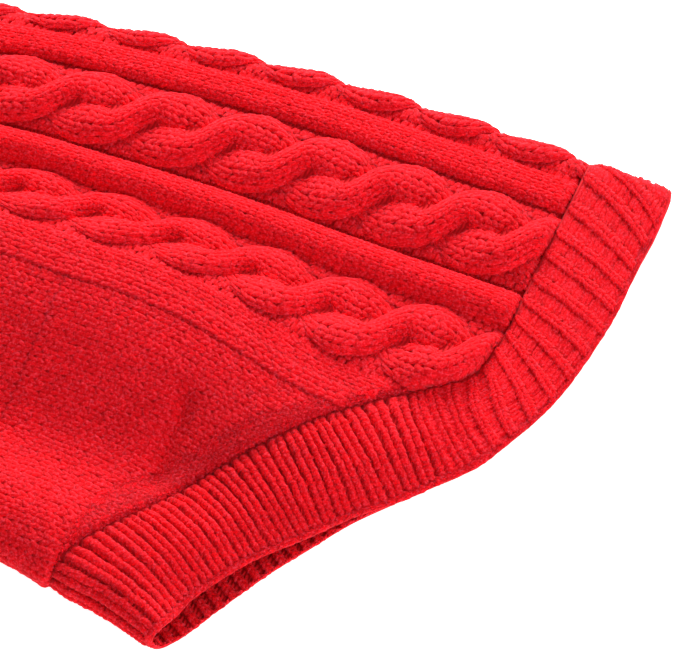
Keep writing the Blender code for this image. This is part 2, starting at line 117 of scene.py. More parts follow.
# The large roll beside the cables: (along, across) of its crest, and (along, height above the room).
ROLL_CREST = ((28, -103), (50, -111), (72, -112.5), (94, -110.5), (119, -108), (196, -109), (300, -108))
ROLL_RISE = ((30, 0), (45, 2), (70, 6), (95, 8.8), (130, 10.2), (195, 9.8), (235, 5.5), (280, 0))
ROLL_FAR_SIDE, ROLL_NEAR_SIDE = 15.0, 40.0
ROLL_FAR_POWER, ROLL_NEAR_POWER = 2, 3  # the higher, the flatter its top and the steeper its side
# Softer folds: ends (across, along), half width and rise, which is negative in a trough.
SOFT_FOLDS = (
    (-169, 106, -172, 178, 15, -3.2),
    (-147, 112, -172, 110, 4.5, -2.4),
    (-200, 136, -198, 168, 12, 2.8),
    (-60, 205, -75, 250, 16, 1.4),
)
FOLD_FADE = 1.4  # how far a soft fold fades past its ends, in half widths
LEAST_ROOM = 0.6
FOLD_MIDDLE = 0.45  # height of each fold's tip, as a share of the room
# Depth of the rounding at a fold: this much of the room plus this many millimetres, and less below.
FOLD_DEPTH, FOLD_LEAST, FOLD_BELOW = 0.6, 1.5, 0.8
# Turn below each fold where the relief starts to fade, and where it is gone.
RELIEF_FROM, RELIEF_TO = 0.02, 0.09
# Share of the relief that is left where the knit is stretched round the back fold, and the turn above
# that has all.
RELIEF_AT_FOLD, RELIEF_WHOLE = 0.5, 0.17
RELIEF_ROUND = 1.6  # length over which the relief rounds down into the hem band's seam

# How finely the cloth is measured.
SETTLING_STEPS, SETTLE_FROM = 12, 60.0  # tries, and the place along where they start
TURN_STEP, ALONG_STEP = 0.002, 0.4  # for the slope of the cloth
PATTERN_FROM, PATTERN_STEP, WIDTH_STEP, PATTERN_TURNS = -10, 2.5, 0.5, 900
TABLE_END = 1.001  # steps before a table's end where looking up stops
PAST_FOLD = 0.42  # turn past each fold, as far as the stitches are measured
STRAND_STEPS = 400
SAME_PLACE = 0.01  # points nearer than this are merged

# Leg openings, one in each flank, in line: middle, half sizes of the hole, and the ribbed band's width.
ARMHOLE_ACROSS, ARMHOLE_ALONG = -163.0, 236.0
ARMHOLE_HALF_ACROSS, ARMHOLE_HALF_ALONG = 19.0, 23.0
ARMBAND_WIDTH = 11.0
PAST_ARMBAND = 1.02  # where the panel's stitches start, in sizes of the armband's outline
UPPER_FLANK = 6.0  # height that only the upper flank's ground is above, at the leg openings

# Ground under the stitches.
GROUND_THICK = 1.7
REST = 0.12  # least height above the surface that the garment rests on
# How far it lies below the outer face, to leave room for the stitches, and where they are felted flat.
BED, UNDER_BED = 1.1, 0.75
BAND_GROUND_FROM = -0.03  # row of the hem band where its ground starts, under the panels' edge

# Knit gauge.
WALE, ROW = 3.6, 2.81  # one stitch: across and along
FIRST_ROW = 30  # along
STRAND_WALES = (4, 5, 5)
STRAND_ROW = 2.9
STRAND_ROUND = math.radians(78)  # half of the arc that a cable strand's stitches cover
STRAND_REACH = 0.86  # how far past its crossing a strand is knitted, in cable repeats
STRIPE_WALES = 5
MARGIN_WALES = 3
PURL_WALES, PURL_IN, PURL_STEP, PURL_WIDE = 3, 0.7, 2.2, 2.3  # at each side of a cable, going inwards
PURL_LOOSE = 2.0  # how much less evenly than the rest they are knitted
UNDER_WALES = 36
BELOW_BELLY = 16  # how far the plain stitches go on below the belly fold
UNDER_SPLIT = 165  # along, where the plain stitches become two pieces, as one would be too large
BRAID = 3.7  # width of the firm stitches along the side seam
BRAID_ROW = BRAID * 0.9
BRAID_WALES, BRAID_LIFT = (0.3 * BRAID, 1.3 * BRAID), 0.5  # its two wales, out from the seam
RAISED, SMOOTH = 0.9, 0.6  # height of the stitches on raised knit, and on plain knit that is felted smooth
# How unevenly they are knitted: turn, width, place aside and place along as shares of a stitch, and height.
TURN_SWAY, WIDTH_SWAY, ASIDE_SWAY, ALONG_SWAY, HEIGHT_SWAY = 0.05, 0.05, 0.03, 0.04, 0.06
UNEVEN = 0.07  # of the brushed yarn's surface

# A stitch's leg: where it starts and how far it runs in rows, how deep its ends lie and how far its
# middle rises, how thin its ends are and how much its middle swells, and half its height.
LEG_FROM, LEG_RUN = -0.7, 1.44
LEG_DEEP, LEG_RISE = -1.1, 0.3
LEG_THIN, LEG_SWELL, LEG_HEIGHT = 0.82, 0.18, 0.8
# How far a leg's ends lie from the stitch's middle and its half width, as shares of a wale: in plain
# knit, and in the band's pairs of cords.
KNIT_LEG, RIB_LEG = (0.05, 0.4, 0.29), (0.18, 0.28, 0.23)
# A purl bar, in the same way, and how far it bends.
BAR_FROM, BAR_RUN, BAR_BEND = -0.62, 1.24, 0.1
BAR_DEEP, BAR_RISE = -0.95, 0.25
BAR_THICK = (0.56, 0.7)  # half width and half height
YARN_ARC = math.radians(105)  # half of the arc round the yarn that is modelled
LEG_LENGTH = 1.5  # of yarn, in rows
YARN_STEP = 0.01  # share of its length over which its direction is measured
YARN_REPEAT = 40  # stitches start this far apart or less in the yarn's pattern, so that no two look alike

# Where the panels meet the hem band.
NEAR_EDGE = (-80, -115)  # across, where their swell over the band starts, and where it is whole
EDGE_ROLL, EDGE_ROLL_WIDE = 1.1, 9.0  # how far they swell over the near part of the band's seam
EDGE_DIP, EDGE_ROUND = 1.3, 1.8  # and how far they turn down into it
DIP_AT_BACK = 0.3  # share of a seam's dip that is left over the back
BAND_DIP, BAND_DIP_WIDE = 1.0, 2.2  # of the band into the same seam

# Hem band. Numbers of ribs count from the back fold, and rows run from the seam, 0, to the edge, 1.
BAND_ROWS = 20
KNIT_FROM, KNIT_TO = -0.01, 0.95  # rows
NEAR_RIBS = (8, 17)  # where the ribs turn from low cords over the back to full pairs of cords
GROOVE_DEPTH, GROOVE_AT_BACK = 1.3, 0.35  # between the ribs
CORD_AT_BACK, CORD = 1.1, 2.4  # how square the cords are
MID_GROOVE = 0.45  # depth of the groove between a rib's two cords, as a share of the one between ribs
SOFTENED, SOFTENED_ROWS = 0.7, (0.6, 0.95)  # share of the grooves that is lost towards the edge
THINNED, THINNED_ROWS = 0.6, (0.88, 1.0)  # share of the ribs' height that is lost at the edge
SAG = 4.8  # of the upper edge, half way to the belly
SAG_FROM, SAG_UNTIL, SAG_ROWS = (9, 16), (HEM_RIBS - 0.5, HEM_RIBS - 4), (0.45, 1)
DRAWN_BACK = 0.07  # share of its depth that the upper edge lies back from the lower one
DRAWN_FROM, DRAWN_UNTIL = (22, 28), (35, 31.5)
# Ribs whose stitches are modelled: this many below the back fold, those with two cords, those with
# bars between them, and those whose inner side shows in the mouth, with its (first, last, count) of rows.
BELOW_FOLD, FIRST_PAIR, LAST_PAIR, LAST_BARS = 4, 12, HEM_RIBS + 5, 14
LAST_IN_MOUTH, MOUTH_ROWS = 2 * HEM_RIBS - 6, (0.6, 1.0, 8)
MOUTH_STITCH, MOUTH_LIFT = (0.62, 0.055), 1.3  # size in shares of the ribs' spacing and the band's depth
ROW_OVERLAP = 1.1  # length of a stitch in rows
LOW_RIB_LIFT, PAIR_RELIEF = 0.25, 1.1
BAR_WIDE, BAR_LONG, BAR_LIFT, BAR_LOOSE = 0.5, 1.25, -0.25, 1.6  # of the bars between the low ribs
# Width of the low cords over the back, how much wider they are near the pairs, and the ribs between.
CORD_WIDE, CORD_WIDER, WIDER_RIBS = 0.42, 0.24, (8, 13)
RIM_RADIUS, LOW_RIM_RADIUS = 1.35, 1.7
RIM_DEEP = 0.9  # middle of the upper rim below the outer face
RIM_LOOP, RIM_LIFT, RIM_RELIEF = 0.6, 0.15, 0.6  # of its stitches, one at every half rib
RIM_FACE, RIM_ARC = math.radians(62), math.radians(190)  # middle and reach of its stitches

# Collar and armbands.
COLLAR_ROWS, ARMBAND_ROWS = 17, 4
COLLAR_EDGE = 2  # left bare at the collar's free edge
ARMBAND_FROM = 1.5  # out from the hole
RIB_WIDE, RIB_GAP = 0.66, 0.36  # a rib's stitches and the bars between, as shares of the ribs' spacing
RIB_LIFT = 0.75


def through(rows, place):
    """A smooth curve through (place, value) rows, level beyond the first and the last."""
    places, values = np.array(rows, float).T
    slopes = np.gradient(values, places)
    place = np.clip(place, places[0], places[-1])
    low = np.clip(np.searchsorted(places, place) - 1, 0, len(places) - 2)
    span = places[low + 1] - places[low]
    part = (place - places[low]) / span
    start = (1 + 2 * part) * (1 - part) ** 2 * values[low] + part * (1 - part) ** 2 * span * slopes[low]
    end = part**2 * (3 - 2 * part) * values[low + 1] + part**2 * (part - 1) * span * slopes[low + 1]
    return start + end


def eased(low, high, place):
    """A smooth step from 0 at low to 1 at high."""
    part = np.clip((place - low) / (high - low), 0, 1)
    return part * part * (3 - 2 * part)


def between(low, high, share):
    """The value this share of the way from low to high."""
    return low + (high - low) * share


def bell(off):
    return np.exp(-(off**2))


def domed(off, power=2):
    """1 in the middle, falling to 0 at -1 and 1. The higher the power, the squarer it is."""
    return np.clip(1 - np.abs(off) ** power, 0, 1)


def soft_fold(across, along, fold):
    """A trough or ridge with round sides that fades past both ends."""
    start_across, start_along, end_across, end_along, half_width, rise = fold
    run = np.hypot(end_across - start_across, end_along - start_along)
    step = ((end_across - start_across) / run, (end_along - start_along) / run)
    forward = (across - start_across) * step[0] + (along - start_along) * step[1]
    sideways = (along - start_along) * step[0] - (across - start_across) * step[1]
    past_end = forward - np.clip(forward, 0, run)
    return rise * np.exp(-((sideways / half_width) ** 2) - (past_end / (FOLD_FADE * half_width)) ** 2)


def room(across, along):
    """Height of the space between the flanks."""
    belly_side = eased(BELLY_SIDE_FROM, BELLY_SIDE_TO, across)
    height = through(ROOM_AT_BACK, along) * (1 - belly_side) + ROOM_AT_BELLY * belly_side
    from_crest = across - through(ROLL_CREST, along)
    side = np.where(from_crest > 0, ROLL_FAR_SIDE, ROLL_NEAR_SIDE)
    power = np.where(from_crest > 0, ROLL_FAR_POWER, ROLL_NEAR_POWER)
    height = height + through(ROLL_RISE, along) * np.exp(-(np.abs(from_crest / side) ** power))
    for fold in SOFT_FOLDS:
        height = height + soft_fold(across, along, fold)
    return np.maximum(height, LEAST_ROOM)


def fold_tips(along):
    """Across of the inner face at the back fold and at the belly fold."""
    return through(BACK_FOLD, along) - WALL, through(BELLY_FOLD, along) + WALL


def inner_face(turn, along):
    """A point on the inner face of the wall."""
    back, belly = fold_tips(along)
    across = back + (belly - back) * (1 - np.cos(math.pi * turn)) / 2
    height = room(across, along)
    loop = FOLD_DEPTH * height + FOLD_LEAST
    from_tip = np.minimum(back - across, across - belly)
    open_above, open_below = (
        np.sqrt(1 - (1 - np.clip(from_tip / depth, 0, 1)) ** 2) for depth in (loop, FOLD_BELOW * loop)
    )
    upper = WALL + height * between(FOLD_MIDDLE, 1, open_above)
    lower = WALL + height * FOLD_MIDDLE * (1 - open_below)
    rise = np.where(np.mod(turn, 2) < 1, upper, lower)
    return np.stack([across, along, rise], axis=-1)


def outward(turn, along):
    """The direction out of the cloth."""
    sideways = inner_face(turn + TURN_STEP, along) - inner_face(turn - TURN_STEP, along)
    forward = inner_face(turn, along + ALONG_STEP) - inner_face(turn, along - ALONG_STEP)
    normal = np.cross(forward, sideways)
    return normal / np.linalg.norm(normal, axis=-1, keepdims=True)


def turn_at(across, along, lower=False):
    """Turn of a place on the upper or the lower flank."""
    back, belly = fold_tips(along)
    share = np.clip((across - back) / (belly - back), 0, 1)
    turn = np.arccos(1 - 2 * share) / math.pi
    return 2 - turn if lower else turn


def on_top(turn):
    """1 over the upper flank, falling to 0 just below each fold, so that nothing is raised underneath."""
    turn = np.mod(turn, 2)
    below = np.where(turn > 1, np.minimum(turn - 1, 2 - turn), 0)
    return 1 - eased(RELIEF_FROM, RELIEF_TO, below)


def stretched(turn):
    """Share of the cables' and stripes' height, less where the knit is stretched round the back fold."""
    turn = np.mod(turn + 1, 2) - 1
    return between(RELIEF_AT_FOLD, 1, eased(0, RELIEF_WHOLE, turn))


class Pattern:
    """Distances round the cloth from the centre-back fold, for each place along it."""

    def __init__(self):
        self.along = np.arange(PATTERN_FROM, LENGTH + PATTERN_STEP, PATTERN_STEP)
        turn = np.linspace(-PAST_FOLD, 1 + PAST_FOLD, PATTERN_TURNS)
        turns, alongs = np.meshgrid(turn, self.along)
        middle = inner_face(turns, alongs) + outward(turns, alongs) * WALL / 2
        steps = np.linalg.norm(np.diff(middle, axis=1), axis=-1)
        distance = np.concatenate([np.zeros((len(self.along), 1)), np.cumsum(steps, axis=1)], axis=1)
        distance -= np.array([[np.interp(0, turn, d)] for d in distance])
        seam_turn = turn_at(through(SIDE_SEAM, self.along), self.along)
        self.seam_distance = np.array([np.interp(s, turn, d) for s, d in zip(seam_turn, distance)])
        self.belly_distance = np.array([np.interp(1, turn, d) for d in distance])
        self.distances = np.arange(distance[:, 0].max(), distance[:, -1].max(), WIDTH_STEP)
        self.turn_of_distance = np.array([np.interp(self.distances, d, turn) for d in distance])

    def seam(self, along):
        """Distance round the cloth of the side seam."""
        return np.interp(along, self.along, self.seam_distance)

    def real(self, width, along):
        """Distance round the cloth of a pattern width: the knit draws in towards the neck."""
        size = np.abs(width)
        seam = self.seam(along)
        first, last = CABLES[-1]
        first_real, last_real = first * through(DRAWN_IN, along), seam - through(SEAM_MARGIN, along)
        inside = size / first * first_real
        middle = first_real + (size - first) / (last - first) * (last_real - first_real)
        outside = last_real + (size - last) / (SEAM_WIDTH - last) * (seam - last_real)
        return np.sign(width) * np.where(size < first, inside, np.where(size < last, middle, outside))

    def turn_at(self, distance, along):
        """Turn at a distance round the cloth."""
        row = np.clip((along - self.along[0]) / PATTERN_STEP, 0, len(self.along) - TABLE_END)
        column = np.clip((distance - self.distances[0]) / WIDTH_STEP, 0, len(self.distances) - TABLE_END)
        r, c = row.astype(int), column.astype(int)
        fr, fc = row - r, column - c
        table = self.turn_of_distance
        low = table[r, c] * (1 - fc) + table[r, c + 1] * fc
        high = table[r + 1, c] * (1 - fc) + table[r + 1, c + 1] * fc
        return low * (1 - fr) + high * fr


def on_cloth(turn, along, lift):
    """A point this far out from the inner face, kept off the surface below."""
    point = inner_face(turn, along) + outward(turn, along) * lift[..., None]
    point[..., 2] = np.maximum(point[..., 2], REST)
    return point


def strand(past, reach):
    """Middle, lean, half width and height of a strand this far past its crossing, in repeats.

    It crosses steeply and is drawn narrow there, and spreads at either side, where it runs straight.
    The middle is the integral of the cosine's fifth power, and the lean is its slope."""
    across, forward = np.sin(math.pi * past), np.cos(math.pi * past)
    swing = STRAND_SWING * reach
    middle = swing * across * (15 - 10 * across**2 + 3 * across**4) / 8
    lean = 15 / 8 * math.pi * swing / CABLE_REPEAT * forward**5
    half = reach * (STRAND_HALF - STRAND_DRAWN_IN * forward**2)
    risen = np.clip(0.5 + 0.5 * forward, 0, 1) ** STRAND_ALONG_POWER
    return middle, lean, half, between(STRAND_LOW, CABLE_HEIGHT, risen)


def cable_bed(width, start, end):
    """Height of the raised knit under a cable's strands."""
    off = (width - (start + end) / 2) / ((end - start) / 2 - GUTTER)
    return CABLE_BED * domed(off)


def cable(width, along, start, end):
    """Two strands that twist, each crossing on top from the belly side to the back side, tailwards."""
    reach = (end - start) / 2 - GUTTER
    from_middle = width - (start + end) / 2
    height_to_blend = cable_bed(width, start, end) ** BLEND
    first = int((FIRST_CROSSING - LENGTH) // CABLE_REPEAT) - 1
    for crossing in range(first, 3):
        past = (FIRST_CROSSING - along) / CABLE_REPEAT - crossing
        middle, lean, half, height = strand(past, reach)
        off = (from_middle + middle) / half / np.sqrt(1 + lean**2)
        raised = height * domed(off) ** STRAND_ACROSS_POWER
        height_to_blend += np.where(np.abs(past) < 1, raised, 0) ** BLEND
    return height_to_blend ** (1 / BLEND)


def stripe(width, start, end):
    """A half-round roll. The one nearer the fold is stretched, low and flat on top."""
    off = (width - (start + end) / 2) / ((end - start) / 2)
    if start == STRIPES[0][0]:
        return FLAT_STRIPE * domed(off, FLAT_STRIPE_POWER)
    return STRIPE_HEIGHT * domed(off) ** STRIPE_POWER


def back_relief(width, along):
    """Height of the cables and stripes."""
    return sum(cable(width, along, *ends) for ends in CABLES) + sum(stripe(width, *ends) for ends in STRIPES)


def settled(turn_for, start_line, end_line, row):
    """Turn and along a share of the way between two lines of (across, along) rows."""
    along = SETTLE_FROM + 0 * row
    for _ in range(SETTLING_STEPS):
        turn = turn_for(along)
        across = inner_face(turn, along)[..., 0]
        along = through(start_line, across) * (1 - row) + through(end_line, across) * row
    return turn, along


def moved(line, step):
    """A line of (across, along) rows, moved along."""
    return [(across, along + step) for across, along in line]


pattern = Pattern()
rng = np.random.default_rng(SEED)


# Where each cloth's pattern lies. Each function turns pattern places and a height over the outer
# face into points.

def off_band(turn, along):
    """Keeps the panels' stitches from crossing the hem band's seam."""
    return np.maximum(along, through(BAND_SEAM, inner_face(turn, along)[..., 0]) + SEAM_GAP)


def past_seam(turn, along):
    """Millimetres neckward of the hem band's seam."""
    across = inner_face(turn, along)[..., 0]
    slope = (through(BAND_SEAM, across + 1) - through(BAND_SEAM, across - 1)) / 2
    return np.maximum(along - through(BAND_SEAM, across), 0) / np.sqrt(1 + slope**2)


def edge_roll(turn, along):
    """The panel's edge swells over the hem band and turns down into the seam."""
    away = past_seam(turn, along)
    near = eased(*NEAR_EDGE, inner_face(turn, along)[..., 0])
    swell = EDGE_ROLL * near
    turned_down = (swell + EDGE_DIP * between(DIP_AT_BACK, 1, near)) * bell(away / EDGE_ROUND)
    return on_top(turn) * (swell * bell(away / EDGE_ROLL_WIDE) - turned_down)


def relief_left(turn, along):
    """Share of a raised pattern's height: less round the back fold, and none at the band's seam."""
    return stretched(turn) * on_top(turn) * (1 - bell(past_seam(turn, along) / RELIEF_ROUND))


def on_back(width, along, relief, above):
    """Width is the place in the cables' pattern, and relief how far the knit is raised there."""
    turn = pattern.turn_at(pattern.real(width, along), along)
    along = off_band(turn, along)
    return on_cloth(turn, along, WALL + relief * relief_left(turn, along) + edge_roll(turn, along) + above)


def plain_back(width, along, above):
    return on_back(width, along, 0, above)


def over(shape, start, end):
    """Stitches over a stripe, or over the bed of purl knit that a cable's strands lie on."""
    return lambda width, along, above: on_back(width, along, shape(width, start, end), above)


def cable_strand(start, end, crossing):
    """Stitches over the round face of the strand that lies on top at this crossing.

    Lateral runs from -1 to 1 over the strand's face."""
    reach = (end - start) / 2 - GUTTER

    def place(lateral, along, above):
        past = (FIRST_CROSSING - along) / CABLE_REPEAT - crossing
        middle, lean, half, height = strand(past, reach)
        spread = np.sqrt(1 + lean**2)
        angle = lateral * STRAND_ROUND
        off = (half + above) * np.sin(angle)
        rise = height * np.clip(np.cos(angle), 0, 1) ** STRAND_FACE_POWER
        width = (start + end) / 2 - middle + off / spread
        return on_back(width, along - lean * off / spread, rise, above * np.cos(angle))

    return place


def on_under(offset, along, above):
    """Offset runs round the cloth from the upper side seam towards the belly."""
    turn = pattern.turn_at(pattern.seam(along) + offset, along)
    along = off_band(turn, along)
    return on_cloth(turn, along, WALL + edge_roll(turn, along) + above)


def band_tables():
    """Turn of each rib at the seam and at the free edge, over the upper and the lower flank."""
    numbers, seam_across, edge_across = np.array(BAND_FAN, float).T
    seam_turn = np.column_stack([numbers, turn_at(seam_across, through(BAND_SEAM, seam_across))])
    edge_turn = np.column_stack([numbers, turn_at(edge_across, through(BAND_EDGE, edge_across))])
    seam_turn[0, 1], seam_turn[-1, 1], edge_turn[-1, 1] = 0, 1, 1
    under_edge_turn = edge_turn.copy()
    under_edge_turn[0, 1] *= -1
    return seam_turn, edge_turn, under_edge_turn


SEAM_TURN, EDGE_TURN, UNDER_EDGE_TURN = band_tables()


def band_place(rib, row):
    """Turn and along of a place on the hem band."""
    rib = np.mod(rib, 2 * HEM_RIBS)
    below = rib > HEM_RIBS
    upper = np.minimum(rib, 2 * HEM_RIBS - rib)
    drawn_back = DRAWN_BACK * eased(*DRAWN_FROM, upper) * eased(*DRAWN_UNTIL, upper)
    row = row * np.where(below, 1 - through(UNDER_EDGE_IN, upper / HEM_RIBS), 1 - drawn_back)
    at_edge = np.where(below, through(UNDER_EDGE_TURN, upper), through(EDGE_TURN, upper))
    turn = through(SEAM_TURN, upper) * (1 - row) + at_edge * row
    turn = np.where(below, 2 - turn, turn)
    return settled(lambda a: turn, moved(BAND_SEAM, -BAND_GAP / 2), BAND_EDGE, row)


def sagged(point, rib, row):
    """The band's upper edge sags towards the lower one, and leaves a narrow mouth."""
    rib = np.mod(rib, 2 * HEM_RIBS)
    window = eased(*SAG_FROM, rib) * eased(*SAG_UNTIL, rib)
    point[..., 2] -= SAG * eased(*SAG_ROWS, row) * window
    return point


def rib_lift(rib, row):
    """Height of the ribs: low cords over the back, then pairs of cords, which soften at the free edge."""
    rib = np.mod(rib, 2 * HEM_RIBS)
    upper = np.minimum(rib, 2 * HEM_RIBS - rib)
    off = np.abs(np.mod(rib + 0.5, 1) - 0.5) * 2
    near = eased(*NEAR_RIBS, upper)
    one_cord = 1 - np.sqrt(domed(off, CORD_AT_BACK))
    two_cords = (1 - np.sqrt(domed(2 * off - 1, CORD))) * np.where(off < 0.5, MID_GROOVE, 1)
    groove = between(GROOVE_AT_BACK, GROOVE_DEPTH, near) * (one_cord * (1 - near) + two_cords * near)
    groove *= 1 - SOFTENED * near * eased(*SOFTENED_ROWS, row)
    dip = BAND_DIP * between(DIP_AT_BACK, 1, near) * bell(row * BAND_DEPTH / BAND_DIP_WIDE)
    return (RIB_HEIGHT - groove) * (1 - THINNED * eased(*THINNED_ROWS, row)) - dip


def on_band(rib, row, above):
    turn, along = band_place(rib, row)
    return sagged(on_cloth(turn, along, WALL + rib_lift(rib, row) * on_top(turn) + above), rib, row)


def inside_band(rib, row, above):
    """The band's inner face."""
    turn, along = band_place(rib, row)
    return sagged(on_cloth(turn, along, WALL - GROUND_THICK - above), rib, row)


def round_rim(angle, rib, above):
    """The bound-off edge, a roll along the band's free edge. Angle 0 faces the hem, and half pi faces out."""
    below = np.mod(rib, 2 * HEM_RIBS) > HEM_RIBS
    radius = np.where(below, LOW_RIM_RADIUS, RIM_RADIUS) + above
    turn, along = band_place(rib, 1 + (radius * np.cos(angle) - RIM_RADIUS) / BAND_DEPTH)
    middle = np.where(below, WALL / 2, WALL - RIM_DEEP)
    return sagged(on_cloth(turn, along, middle + radius * np.sin(angle)), rib, 1.0)


def collar_turns(share):
    """Turn of a share of the way round the collar."""
    middle = np.searchsorted(pattern.along, (NECK_SEAM + LENGTH) / 2)
    half_round = pattern.belly_distance[middle]
    upper = np.minimum(share, 2 - share)
    turn = np.interp(upper * half_round, pattern.distances, pattern.turn_of_distance[middle])
    return np.where(share > 1, 2 - turn, turn)


def on_collar(rib, along, above):
    return on_cloth(collar_turns(rib / COLLAR_RIBS), along, WALL + above)


def armband_place(lower):
    """A ring round a leg opening: rib number, and millimetres out from the hole."""

    def place(rib, out, above):
        angle = 2 * math.pi * rib / ARMBAND_RIBS
        across = ARMHOLE_ACROSS + (ARMHOLE_HALF_ACROSS + out) * np.cos(angle)
        along = ARMHOLE_ALONG + (ARMHOLE_HALF_ALONG + out) * np.sin(angle)
        point = inner_face(turn_at(across, along, lower), along)
        point[..., 2] += (WALL + above) * (-1 if lower else 1)
        point[..., 2] = np.maximum(point[..., 2], REST)
        return point

    return place


# Meshes.

def to_frame(points):
    """From millimetres along and across to metres about the middle of the outline."""
    return (points - np.array([CENTRE_ACROSS, CENTRE_ALONG, 0])) * MM


def in_scene(name, data):
    """A new object with this data."""
    obj = bpy.data.objects.new(name, data)
    bpy.context.scene.collection.objects.link(obj)
    return obj


def finished(name, mesh, material):
    """The mesh as a piece of the garment."""
    mesh.shade_smooth()
    mesh.materials.append(material)
    obj = in_scene(name, mesh)
    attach(obj, "root")
    return obj


class Stitch:
    """A small shape that is knitted many times: points with across and along from -0.5 to 0.5 of a
    stitch and height in millimetres, its faces, and for each point a place along and round the yarn."""

    def __init__(self, bm, yarn_length):
        bm.verts.ensure_lookup_table()
        self.points = np.array([v.co for v in bm.verts])
        self.faces = np.array([[v.index for v in f.verts] for f in bm.faces])
        layer = bm.verts.layers.float_vector["yarn"]
        self.yarn = np.array([v[layer] for v in bm.verts]) * (yarn_length, 1, 1)
        bm.free()


def arched(t):
    """0 at both ends of a length of yarn and 1 at its middle."""
    return math.sin(math.pi * min(max(t, 0), 1))


def yarn_piece(line, thick, steps=4, round_steps=4):
    """The upper side of a short bent length of yarn: line(t) gives the middle's across, along and
    height, and thick(t) its half width across and its half height."""
    bm = bmesh.new()
    layer = bm.verts.layers.float_vector.new("yarn")
    bmesh.ops.create_grid(bm, x_segments=round_steps, y_segments=steps, size=0.5)
    for vert in bm.verts:
        part, angle = vert.co.y + 0.5, vert.co.x * 2 * YARN_ARC
        before, after = Vector(line(part - YARN_STEP)), Vector(line(part + YARN_STEP))
        side = (after - before).cross(Vector((0, 0, 1))).normalized()
        half_width, half_height = thick(part)
        # The third value is highest on top of a leg's middle. The yarn's finish paints shade where it is low.
        vert[layer] = (part, angle / math.pi, math.cos(angle) * math.sin(math.pi * part) ** 0.5)
        vert.co = Vector(line(part)) + side * math.sin(angle) * half_width
        vert.co.z += math.cos(angle) * half_height
    return bm


def knit_stitch(start, end, half_width):
    """The two legs of one stitch, nearer each other at its tailward end."""

    def line(t):
        return between(start, end, t), LEG_FROM + LEG_RUN * t, LEG_DEEP + LEG_RISE * arched(t)

    def thick(t):
        swell = LEG_THIN + LEG_SWELL * arched(t)
        return half_width * swell, LEG_HEIGHT * swell

    bm = yarn_piece(line, thick)
    leg = bm.verts[:] + bm.edges[:] + bm.faces[:]
    other = bmesh.ops.duplicate(bm, geom=leg)["geom"]
    bmesh.ops.scale(bm, vec=(-1, 1, 1), verts=[v for v in other if isinstance(v, bmesh.types.BMVert)])
    bmesh.ops.reverse_faces(bm, faces=[f for f in other if isinstance(f, bmesh.types.BMFace)])
    return Stitch(bm, ROW * LEG_LENGTH)


def purl_bar():
    """The bar that a stitch shows on its back, across a gutter."""

    def line(t):
        return BAR_FROM + BAR_RUN * t, BAR_BEND * math.sin(math.pi * t), BAR_DEEP + BAR_RISE * arched(t)

    return Stitch(yarn_piece(line, lambda t: BAR_THICK, round_steps=3), WALE)


def knit(name, stitch, place, across, along, size, slot, lift=0.0, loose=1.0, relief=1.0):
    """One mesh of this stitch at every place (across, along), size being one stitch's own.

    Lift raises it, loose knits it less evenly, and relief is how high it stands."""
    count = len(across)
    sway = rng.normal(0, 1, (5, count, 1)) * loose
    x, y, z = stitch.points.T
    size_across, size_along = (np.broadcast_to(np.asarray(s, float), (count,))[:, None] for s in size)
    turned = TURN_SWAY * sway[0]
    u = across[:, None] + (x * (1 + WIDTH_SWAY * sway[1]) + y * turned + ASIDE_SWAY * sway[2]) * size_across
    v = along[:, None] + (y - x * turned + ALONG_SWAY * sway[3]) * size_along
    lift = np.broadcast_to(np.asarray(lift, float), (count,))[:, None]
    uneven = rng.normal(0, UNEVEN, (count, len(x)))
    points = place(u, v, z * relief + lift + HEIGHT_SWAY * sway[4] + uneven)
    faces = stitch.faces
    a, b, c = (points[:, faces[len(faces) // 2][i]] for i in range(3))
    face_way = np.cross(b - a, c - b)
    first_u, first_v, level = u[:, :1], v[:, :1], 0 * u[:, :1]
    above = (place(first_u, first_v, level + 1.0) - place(first_u, first_v, level))[:, 0]
    if np.median((face_way * above).sum(axis=1)) < 0:
        faces = faces[:, ::-1]
    all_faces = (faces[None] + np.arange(count)[:, None, None] * len(x)).reshape(-1, faces.shape[1])
    mesh = bpy.data.meshes.new(name)
    mesh.from_pydata(to_frame(points.reshape(-1, 3)), [], all_faces)
    yarn = np.broadcast_to(stitch.yarn, (count, len(x), 3))
    ends = rng.random((count, 1)) * YARN_REPEAT
    uv = np.stack([yarn[..., 0] + ends, yarn[..., 1]], axis=-1).reshape(-1, 2)
    corners = uv[all_faces.ravel()].ravel().astype(np.float32)
    mesh.uv_layers.new(name="yarn").uv.foreach_set("vector", corners)
    tone = np.repeat(rng.random(count), len(x))
    # crest gives the yarn's painted shade, and tone gives a random tone to each stitch.
    for attribute, values in (("crest", yarn[..., 2].ravel()), ("tone", tone)):
        mesh.attributes.new(attribute, "FLOAT", "POINT").data.foreach_set("value", values.astype(np.float32))
    return finished(name, mesh, wool)


def joined(name, pieces):
    """Several of these meshes as one piece."""
    with bpy.context.temp_override(
        active_object=pieces[0], object=pieces[0], selected_editable_objects=pieces, selected_objects=pieces
    ):
        bpy.ops.object.join()
    pieces[0].name = name
    return pieces[0]


def grid_of(across, along):
    """Every pair of these places, as two flat lists."""
    across, along = np.meshgrid(across, along)
    return across.ravel(), along.ravel()


def on_panel(point):
    """Whether a place on a panel lies between the hem band and the collar, outside the armbands."""
    across, along = point[..., 0], point[..., 1]
    off = np.hypot(
        (across - ARMHOLE_ACROSS) / (ARMHOLE_HALF_ACROSS + ARMBAND_WIDTH),
        (along - ARMHOLE_ALONG) / (ARMHOLE_HALF_ALONG + ARMBAND_WIDTH),
    )
    return (along > through(BAND_SEAM, across) - 0.5) & (along < NECK_SEAM - 1) & (off > PAST_ARMBAND)


def kept(place, across, along, *values):
    """The places whose stitches belong to a panel."""
    good = on_panel(place(across, along, 0 * across))
    return [value[good] for value in (across, along, *values)]


def centred(start, end, count):
    """The middles of this many equal parts."""
    return start + (np.arange(count) + 0.5) * (end - start) / count
